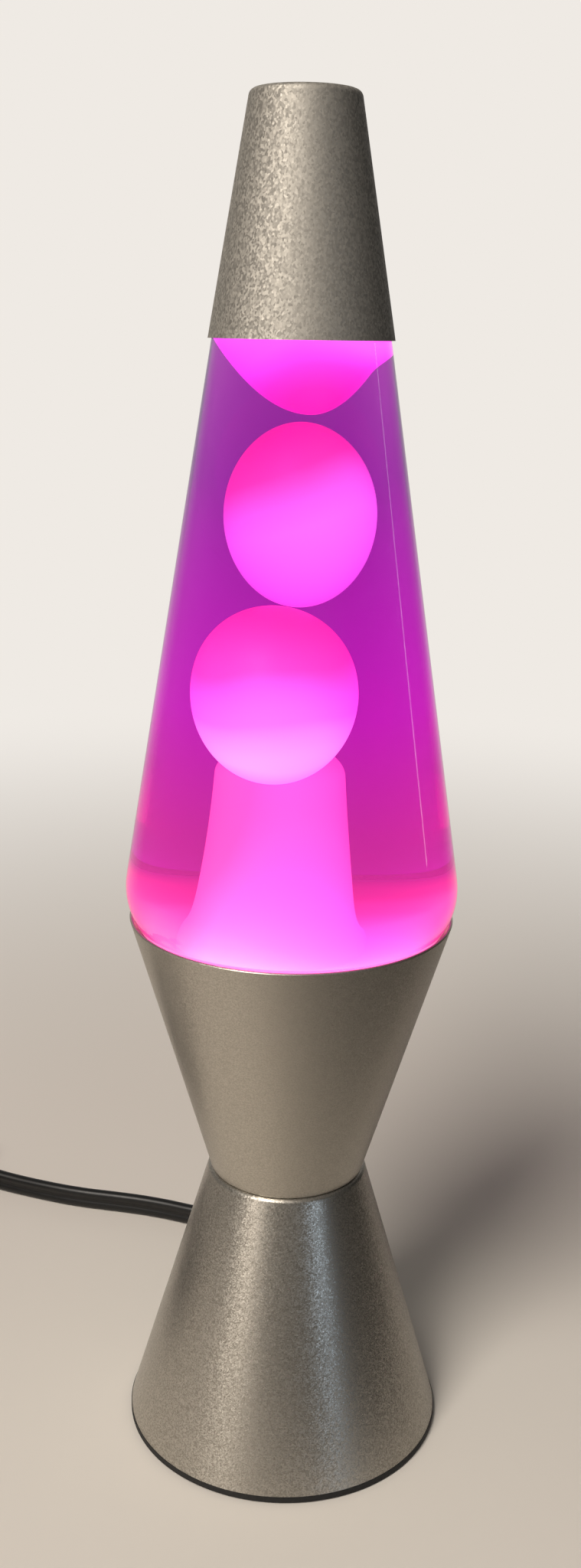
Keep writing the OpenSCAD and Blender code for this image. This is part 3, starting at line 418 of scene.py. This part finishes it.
waxSteps = 96  # points round each piece of wax


def dimGlowAtGlass(tree, where, glow, film):
    # share of the painted dimmer glow: rises with the distance from the axis to the glass, and under the
    # pool
    flat = addNode(tree, "ShaderNodeVectorMath", {0: where, 1: (1, 1, 0)}, operation="MULTIPLY")
    out = addNode(tree, "ShaderNodeVectorMath", {0: flat.outputs["Vector"]}, operation="LENGTH")
    edge = addNode(tree, "ShaderNodeMapRange", {
        "Value": out.outputs["Value"], "From Min": film["inner"] * mm, "From Max": film["outer"] * mm})
    height = addNode(tree, "ShaderNodeSeparateXYZ", {"Vector": where}).outputs["Z"]
    floor = addNode(tree, "ShaderNodeMapRange", {
        "Value": height, "From Min": film["high"] * mm, "From Max": film["low"] * mm})
    touch = addNode(tree, "ShaderNodeMath", {
        0: edge.outputs["Result"], 1: floor.outputs["Result"]}, operation="MAXIMUM")
    # inputs 6 and 7 and output 2 are the Mix node's colours
    return addNode(tree, "ShaderNodeMix", {
        "Factor": touch.outputs[0], 6: glow, 7: tint(film["tint"])}, data_type="RGBA").outputs[2]


def litWax(wax):
    # paraffin wax full of the bulb's light: its colour follows the distance from where the light
    # enters, waved by a slow swirl of the wax; at the glass a dimmer plain pink glow is painted
    material, tree = newMaterial(wax["name"])
    where = addNode(tree, "ShaderNodeTexCoord").outputs["Object"]
    slow = addNode(tree, "ShaderNodeTexNoise", {
        "Vector": where, "Scale": 1000 / paraffin["swirl"], "Detail": 1.0})
    offset = addNode(tree, "ShaderNodeVectorMath", {
        0: where, 1: tuple(v * mm for v in wax["source"])}, operation="SUBTRACT")
    pressed = addNode(tree, "ShaderNodeVectorMath", {
        0: offset.outputs["Vector"], 1: wax.get("weights", (1, 1, 1))}, operation="MULTIPLY")
    away = addNode(tree, "ShaderNodeVectorMath", {0: pressed.outputs["Vector"]}, operation="LENGTH")
    waved = addNode(tree, "ShaderNodeMath", {
        0: slow.outputs["Fac"], 1: paraffin["shift"] * mm, 2: away.outputs["Value"]},
        operation="MULTIPLY_ADD")
    near, far = ((wax[end] + paraffin["shift"] / 2) * mm for end in ("near", "far"))
    share = addNode(tree, "ShaderNodeMapRange", {
        "Value": waved.outputs[0], "From Min": near, "From Max": far})
    ramp = addNode(tree, "ShaderNodeValToRGB", {"Fac": share.outputs["Result"]}, stops=wax["stops"])
    glow = ramp.outputs["Color"]
    if "film" in wax:
        glow = dimGlowAtGlass(tree, where, glow, wax["film"])
    finishMaterial(tree, {
        "Base Color": tint(paraffin["tint"]), "Roughness": paraffin["rough"], "IOR": paraffin["ior"],
        "Emission Color": glow, "Emission Strength": wax["strength"]})
    return material


blobs = {
    "waxBlobLower": {"at": (-4.6, -8.5, 219.25), "half": 17.8, "high": 22.95, "pear": 0.0},
    "waxBlobUpper": {"at": (0.35, 3.0, 263.45), "half": 14.25, "high": 23.25, "pear": 0.03},
}


def makeBlob(name, b, material):
    # egg: radius half * sin(w) * (1 + pear * cos(w)), height -high * cos(w), w from 0 to pi
    w = np.linspace(0, np.pi, 48)
    r = b["half"] * np.sin(w) * (1 + b["pear"] * np.cos(w))
    z = b["at"][2] - b["high"] * np.cos(w)
    middle = np.broadcast_to(b["at"][:2], (len(w), 2))
    return makePiece(name, *closedRows(turned(np.stack([r, z], -1), waxSteps, middle)), material)


column = {
    "at": (-2.4, 11.0), "poolZ": 154.0, "high": 49.0, "dome": 10.0,
    "tipR": 10.3, "footR": 17.4, "flare": 30.0, "filletR": 2.2, "filletH": 2.0,
    "lean": (-1.6, -17.0), "leanH": 16.0,
    "climb": 2.5, "climbR": 8.0,  # how high the pool climbs the glass, over what width
    "climbEdge": 0.4, "climbFrom": 0.04,  # where its outline leaves the glass and where the lip begins
    "film": 0.15,  # clear of the glass
}


def makeColumn(c, g, material):
    # pool on the globe's floor that climbs the glass by climb (1 - u)^2, then a stem of radius
    # tip + (foot - tip) e^(-h / flare) with a fillet of filletR e^(-h / filletH) at its foot, then a dome;
    # the stem's middle is moved by lean e^(-h / leanH), so its foot spreads forward and to the left
    side = globeSide(g, g["wall"] + c["film"])
    pool = side[side[:, 1] < c["poolZ"] + c["climb"] - c["climbEdge"]]
    u = np.linspace(c["climbFrom"], 1, 10)
    lip = np.stack([pool[-1, 0] - c["climbR"] * u, c["poolZ"] + c["climb"] * (1 - u) ** 2], -1)
    body = c["high"] - c["dome"]
    h = body * np.linspace(0, 1, 48) ** 1.5  # rows lie closer together at the foot
    fillet = c["filletR"] * np.exp(-h / c["filletH"])
    r = c["tipR"] + (c["footR"] - c["tipR"]) * np.exp(-h / c["flare"]) + fillet
    stem = np.stack([r, c["poolZ"] + h], -1)
    w = np.linspace(0, np.pi / 2, 16)[1:]
    dome = np.stack([stem[-1, 0] * np.cos(w), c["poolZ"] + body + c["dome"] * np.sin(w)], -1)
    profile = np.concatenate([pool, lip, stem, dome])
    middle = np.zeros((len(profile), 2))
    stemFrom = len(pool) + len(lip)
    risen = profile[stemFrom:, 1:] - c["poolZ"]
    middle[stemFrom:] = c["at"] + np.array(c["lean"]) * np.exp(-risen / c["leanH"])
    return makePiece("waxColumn", *closedRows(turned(profile, waxSteps, middle)), material)


hanging = {
    "at": (2.0, 0.0), "lowZ": 288.7, "wideZ": 308.7, "wideR": 17.7,
    "flare": 0.22, "flareFrom": 0.5, "flareOver": 0.35,
    "under": 0.6,  # below the liquid's top
    "film": 0.15,  # clear of the glass
}


def makeTop(t, g, material):
    # bulge: radius wideR s and height (wideZ - lowZ) s^2, so a paraboloid, whose right side swells
    # towards the glass, under a disc that fills the top of the globe
    a = np.linspace(0, 2 * np.pi, waxSteps, endpoint=False)
    slope = sideSlope(g)
    s = np.linspace(0, 1, 32)[:, None]
    swell = ease((s * s - t["flareFrom"]) / t["flareOver"])
    r = t["wideR"] * s * (1 + t["flare"] * swell * np.clip(np.cos(a), 0, 1))
    z = t["lowZ"] + (t["wideZ"] - t["lowZ"]) * s * s + 0 * a
    across = g["wall"] / np.cos(np.arctan(slope))
    edge = g["wideR"] - slope * (z - g["wideZ"]) - across - t["film"]
    r = np.minimum(r, edge - t["at"][0] * np.cos(a) * (1 - s))
    shift = np.array(t["at"]) * (1 - s)
    rows = np.stack([shift[:, :1] + r * np.cos(a), shift[:, 1:] + r * np.sin(a), z], -1)
    topZ = np.array([t["wideZ"], g["fillZ"] - t["under"]])
    wide = (edge[-1, 0] - slope * (topZ - t["wideZ"]))[:, None]
    disc = np.stack([wide * np.cos(a), wide * np.sin(a), topZ[:, None] + 0 * a], -1)
    flat = np.linspace(1, 0, 6)[1:, None, None] * disc[-1] * [1, 1, 0] + [0, 0, topZ[1]]
    return makePiece("waxTop", *closedRows(np.concatenate([rows, disc, flat]) * mm), material)


waxLower = makeBlob("waxBlobLower", blobs["waxBlobLower"], litWax(waxes["lower"]))
waxUpper = makeBlob("waxBlobUpper", blobs["waxBlobUpper"], litWax(waxes["upper"]))
waxColumn = makeColumn(column, globe, litWax(waxes["column"]))
waxTop = makeTop(hanging, globe, litWax(waxes["top"]))
print("wax made")


# Flat twin cord

cord = {
    "w": 7.4, "t": 3.7, "coreArc": (-38, 218), "gap": 2.5,
    "web": 0.30,  # half the width left between the cores, as a share of t
    "exit": (0.0, 41.642, 14.0), "inside": 5.0, "outside": 22.0,
    "lieZ": 3.7, "coilZ": 4.6, "layer": 8.1, "climb": 0.5,
    "switch": (-122.0, 121.0), "switchL": 52.0, "bend": 32.0,
    "coilR": 45.5, "pitch": 4.4, "turns": 6, "turnSteps": 24, "coilStart": (-213.4, 59.55),
    "plugLead": 40.0, "plugZ": 8.0,
    "plugAlong": (0.185, 0.4, 0.52, 0.65, 0.74, 0.815, 1.0),  # shares of the lead's length
    "plugFall": (0, 0.05, 0.25, 0.7, 0.93, 1.0, 1.0),  # shares of the way down to the plug
}


def cordRoute(c):
    # from the lamp to the switch by points, round a quarter circle to the coil, and down to the plug
    ex, ey, ez = c["exit"]
    lie, low = c["lieZ"], c["coilZ"]
    lamp = np.array([
        [ex, ey - c["inside"], ez], [ex, ey + c["outside"], ez],
        [-0.7, 70, 13.4], [-2.6, 76, 12], [-5.7, 81.5, 10], [-9.9, 86.2, 8], [-15, 90, 6.2],
        [-20.9, 92.6, 4.8], [-27.4, 94.4, 4], [-34.1, 96.4, lie], [-42.4, 99.4, lie],
        [-51.5, 102.1, lie], [-61.6, 104.3, lie], [-71.6, 106.2, lie], [-80.7, 108.5, lie],
        [-89.3, 111.3, lie], [-98, 114.5, lie], [-106.5, 117.7, lie + 0.3],
        [c["switch"][0] + c["w"], c["switch"][1], low], [*c["switch"], low]])
    out = np.array([c["switch"][0] - c["switchL"], c["switch"][1], low])
    a = np.radians(np.arange(90, 181, 15))
    bend = out + np.stack([c["bend"] * np.cos(a) - c["w"], c["bend"] * (np.sin(a) - 1), 0 * a], -1)
    # coil: radius shrinks by the pitch each turn, then grows; it climbs a layer as it turns back
    t = np.linspace(0, c["turns"], c["turns"] * c["turnSteps"] + 1)
    r = c["coilR"] - c["pitch"] * np.minimum(t, c["turns"] - t)
    start = np.array([*c["coilStart"], low])
    coil = np.stack([
        start[0] + c["coilR"] - r * np.cos(2 * np.pi * t),
        start[1] - r * np.sin(2 * np.pi * t),
        low + c["layer"] * ease((t - c["turns"] / 2) / c["climb"] + 0.5)], -1)
    end = coil[-1]
    along, fall = np.array(c["plugAlong"]), np.array(c["plugFall"])
    plug = end - np.stack([0 * along, c["plugLead"] * along, (end[2] - c["plugZ"]) * fall], -1)
    lead = start + np.array([[0.0, c["w"], 0.0]])
    return np.concatenate([lamp, [out], bend, lead, coil, plug])


def smoothLine(points, gap):
    # cubic through the points whose slope at each is half the step between its neighbours, then
    # evenly spaced
    p = np.concatenate([2 * points[:1] - points[1:2], points, 2 * points[-1:] - points[-2:-1]])
    u = np.linspace(0, 1, 8, endpoint=False)[:, None, None]
    a, b, c, d = p[:-3], p[1:-2], p[2:-1], p[3:]
    second, third = 2 * a - 5 * b + 4 * c - d, 3 * b - a - 3 * c + d
    q = 0.5 * (2 * b + (c - a) * u + second * u ** 2 + third * u ** 3)
    q = np.concatenate([q.transpose(1, 0, 2).reshape(-1, 3), points[-1:]])
    far = np.concatenate([[0], np.cumsum(np.linalg.norm(np.diff(q, axis=0), axis=1))])
    even = np.linspace(0, far[-1], int(far[-1] / gap) + 1)
    return np.stack([np.interp(even, far, q[:, i]) for i in range(3)], -1)


def makeCord(c, material):
    # two round cores, one above the other with a groove between, carried along the route
    line = smoothLine(cordRoute(c), c["gap"])
    w, t = c["w"], c["t"]
    a = np.radians(np.linspace(*c["coreArc"], 13))
    core = np.stack([t / 2 * np.cos(a), (w - t) / 2 + t / 2 * np.sin(a)], -1)
    half = np.concatenate([[[t * c["web"], 0]], core])
    section = np.concatenate([half, -half])
    ahead = unit(np.gradient(line, axis=0))
    side = unit(np.cross(ahead, [0, 0, 1.0]))
    over = np.cross(side, ahead)
    rings = line[:, None] + side[:, None] * section[:, :1] + over[:, None] * section[:, 1:]
    count, steps = rings.shape[:2]
    j = np.arange(steps)
    ends = [j.tolist(), (steps * (count - 1) + j[::-1]).tolist()]
    faces = bandFaces(count, steps)[:, flipped].tolist() + ends
    return makePiece("twinCord", rings.reshape(-1, 3) * mm, faces, material), line


# extruded vinyl is a smooth, faintly wavy black with a soft gloss
cordPvc = plainSurface("black extruded vinyl", "#0f0f10", "#0b0b0c", 3.0, 0.42, bump=0.1, ior=1.53)
twinCord, cordLine = makeCord(cord, cordPvc)


# Bulb

bulb = {"glass": "#fffaf1", "rough": 0.08, "clear": 0.9, "glow": "#ffd9a0", "strength": 1.5}


def litBulb(name, b):
    # blown glass of a reflector bulb, clear and warm from the wire inside
    material, tree = newMaterial(name)
    finishMaterial(tree, {
        "Base Color": tint(b["glass"]), "Roughness": b["rough"], "IOR": bends["glass"],
        "Transmission Weight": b["clear"],
        "Emission Color": tint(b["glow"]), "Emission Strength": b["strength"]})
    return material


bulbGlass = litBulb("blown bulb glass", bulb)
stemGlass = glassMaterial("pressed stem glass", 0.05)


# Finishes of the solids, and what the new pieces ride on and stand for

finishes = {
    "base_cone": baseLacquer, "foot_ring": footRubber, "base_cover": coverBoard, "cover_screws": screwSteel,
    "globe_cup": cupLacquer, "waist_rivets": rivetAluminium, "cap": capLacquer,
    "socket_body": porcelain, "socket_shell": pressedBrass, "socket_contact": pressedBrass,
    "socket_terminals": pressedBrass, "socket_leads": wirePvc,
    "bulb_glass": bulbGlass, "bulb_base_shell": screwBase, "bulb_insulator": blackGlass,
    "bulb_contact": screwSteel, "bulb_stem": stemGlass, "bulb_filament": tungsten,
    "crown_cap": tinplate, "crown_seal": sealRubber, "heat_coil": screwSteel,
    "cord_bushing": blackAbs, "cord_tie": blackAbs, "plug_body": blackAbs, "plug_blades": bladeBrass,
    "switch_base": blackAbs, "switch_cover": blackAbs, "switch_rocker": blackAbs,
    "switch_screws": screwSteel,
}
for node, material in finishes.items():
    nodes[node].data.materials.clear()
    nodes[node].data.materials.append(material)

for piece, body, node, slot in [
    (glassGlobe, "globe", "glass_globe", "clear_glass"),
    (violetLiquid, "globe", "liquid", "violet_liquid"),
    (waxColumn, "globe", "wax_column", "pink_wax"),
    (waxTop, "globe", "wax_top", "pink_wax"),
    (waxLower, "lower_blob", "wax_blob_lower", "pink_wax"),
    (waxUpper, "upper_blob", "wax_blob_upper", "pink_wax"),
]:
    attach(piece, body)
    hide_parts(node)

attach(twinCord, "base")
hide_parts("cord_lamp_run", "cord_coil_run", "cord_coil", "cord_plug_run")
print("pieces ride on their bodies")


# Studio: a pale floor that fades into the pale background, one soft key, side lights

studio = {
    "background": "#efeae4", "floor": "#ece6de",
    "near": 0.15, "far": 0.9,  # the floor fades into the background between these, m from the lamp
    "front": 0.16, "behind": 0.6, "depth": (0.6, 0.9),  # levels, and the Y between which they turn
    "right": 0.16, "width": (0.4, 0.8),  # level on the right, and the X between which it sets in
    "shadeAlong": (1, -0.8, 0), "shade": (0.02, 0.2),  # painted shade: the floor in shiny things darkens this way
    "rings": (2.5, 26), "outerRings": (4, 8, 16), "steps": 96,
}


def roomLevel(tree, s, axes):
    # shiny things show a room that is dim in front and on the right, and pale straight behind
    depth = addNode(tree, "ShaderNodeMapRange", {
        "Value": axes.outputs["Y"], "From Min": s["depth"][0], "From Max": s["depth"][1],
        "To Min": s["front"], "To Max": s["behind"]})
    right = addNode(tree, "ShaderNodeMapRange", {
        "Value": axes.outputs["X"], "From Min": s["width"][0], "From Max": s["width"][1],
        "To Min": 1.0, "To Max": s["right"]})
    return addNode(tree, "ShaderNodeMath", {
        0: depth.outputs["Result"], 1: right.outputs["Result"]}, operation="MULTIPLY").outputs[0]


def seenBy(tree, eye, mirror):
    # the eye sees the same background past the lamp and through its glass; mirror is for all other rays
    path = addNode(tree, "ShaderNodeLightPath")
    straight = addNode(tree, "ShaderNodeMath", {
        0: path.outputs["Is Camera Ray"], 1: path.outputs["Is Transmission Ray"]}, operation="MAXIMUM")
    return addNode(tree, "ShaderNodeMixShader", {
        "Fac": straight.outputs[0], 1: mirror.outputs[0], 2: eye.outputs[0]}).outputs[0]


def floorMaterial(s):
    # matt paper: near the lamp it takes light and shadow, farther out it fades into the background
    material, tree = newMaterial("pale studio floor")
    where = addNode(tree, "ShaderNodeTexCoord").outputs["Object"]
    away = addNode(tree, "ShaderNodeVectorMath", {0: where}, operation="LENGTH").outputs["Value"]
    heading = addNode(tree, "ShaderNodeVectorMath", {0: where}, operation="NORMALIZE")
    axes = addNode(tree, "ShaderNodeSeparateXYZ", {"Vector": heading.outputs["Vector"]})
    fade = addNode(tree, "ShaderNodeMapRange", {
        "Value": away, "From Min": s["near"], "From Max": s["far"]}, interpolation_type="SMOOTHSTEP")
    sideways = addNode(tree, "ShaderNodeVectorMath", {
        0: where, 1: s["shadeAlong"]}, operation="DOT_PRODUCT")
    # painted shade: for all but camera and glass rays the paper darkens towards the right front
    level = addNode(tree, "ShaderNodeMapRange", {
        "Value": sideways.outputs["Value"], "From Min": s["shade"][0], "From Max": s["shade"][1],
        "To Min": 1.0, "To Max": s["right"]})
    shade = addNode(tree, "ShaderNodeVectorMath", {
        0: tint(s["floor"])[:3], "Scale": level.outputs["Result"]}, operation="SCALE")
    views = []
    for paper, glow in [(tint(s["floor"]), 1.0), (shade.outputs["Vector"], roomLevel(tree, s, axes))]:
        matt = addNode(tree, "ShaderNodeBsdfDiffuse", {"Color": paper})
        pale = addNode(tree, "ShaderNodeEmission", {"Color": tint(s["background"]), "Strength": glow})
        views.append(addNode(tree, "ShaderNodeMixShader", {
            "Fac": fade.outputs["Result"], 1: matt.outputs[0], 2: pale.outputs[0]}))
    addNode(tree, "ShaderNodeOutputMaterial", {"Surface": seenBy(tree, *views)})
    return material


def makeFloor(s):
    # flat rings of radius r round a fan in the middle: (r cos a, r sin a, 0)
    r = np.concatenate([np.linspace(0, *s["rings"])[1:], s["outerRings"]])[:, None]
    a = np.linspace(0, 2 * np.pi, s["steps"], endpoint=False)
    rings = np.stack([r * np.cos(a), r * np.sin(a), 0 * r * a], -1)
    points = np.concatenate([np.zeros((1, 3)), rings.reshape(-1, 3)])
    j = np.arange(s["steps"])
    fan = np.stack([0 * j, 1 + j, 1 + (j + 1) % s["steps"]], -1)
    faces = fan.tolist() + bandFaces(len(rings), s["steps"], 1)[:, flipped].tolist()
    makePiece("studioFloor", points, faces, floorMaterial(s))


def makeWorld(s):
    world = bpy.data.worlds.new("studio")
    bpy.context.scene.world = world
    world.use_nodes = True
    tree = world.node_tree
    tree.nodes.clear()
    axes = addNode(tree, "ShaderNodeSeparateXYZ", {
        "Vector": addNode(tree, "ShaderNodeTexCoord").outputs["Generated"]})
    views = [
        addNode(tree, "ShaderNodeBackground", {"Color": tint(s["background"]), "Strength": level})
        for level in (1.0, roomLevel(tree, s, axes))]
    addNode(tree, "ShaderNodeOutputWorld", {"Surface": seenBy(tree, *views)})


metalPieces = [nodes[n] for n in (
    "base_cone", "globe_cup", "cap", "foot_ring", "waist_rivets", "crown_cap")]
lamps = {
    "key": {
        "at": (-0.75, -1.2, 1.6), "to": (0, 0, 0.15), "size": (0.8, 0.8), "power": 34,
        "tint": "#fff7ed"},
    "warmBox": {
        "at": (-0.85, -1.0, 0.4), "to": (0, 0, 0.2), "size": (0.5, 0.86), "power": 3.6,
        "tint": "#fff4e8", "on": metalPieces},
    "coolStrip": {
        "at": (0.82, -1.02, 0.12), "to": (0, 0, 0.05), "size": (0.08, 0.3), "power": 0.8,
        "tint": "#cfe6ff", "on": metalPieces},
    "tube": {
        "at": (1.15, 0.33, 0.25), "to": (0, 0, 0.22), "size": (0.02, 0.9), "power": 0.15,
        "tint": "#ffffff", "on": [glassGlobe]},
}


def makeLamp(name, lamp):
    # a soft box that faces its target; one with a list lights only the pieces on it
    data = bpy.data.lights.new(name, "AREA")
    data.shape, data.size, data.size_y = "RECTANGLE", *lamp["size"]
    data.energy, data.color = lamp["power"], tint(lamp["tint"])[:3]
    box = bpy.data.objects.new(name, data)
    back = unit(np.array(lamp["at"], float) - lamp["to"])
    side = unit(np.cross([0, 0, 1.0], back))
    place(box, side, np.cross(back, side), back, lamp["at"])
    if "on" in lamp:
        lit = bpy.data.collections.new(name)
        for piece in lamp["on"]:
            lit.objects.link(piece)
        box.light_linking.receiver_collection = lit


makeFloor(studio)
makeWorld(studio)
for name, lamp in lamps.items():
    makeLamp(name, lamp)
print("studio made")
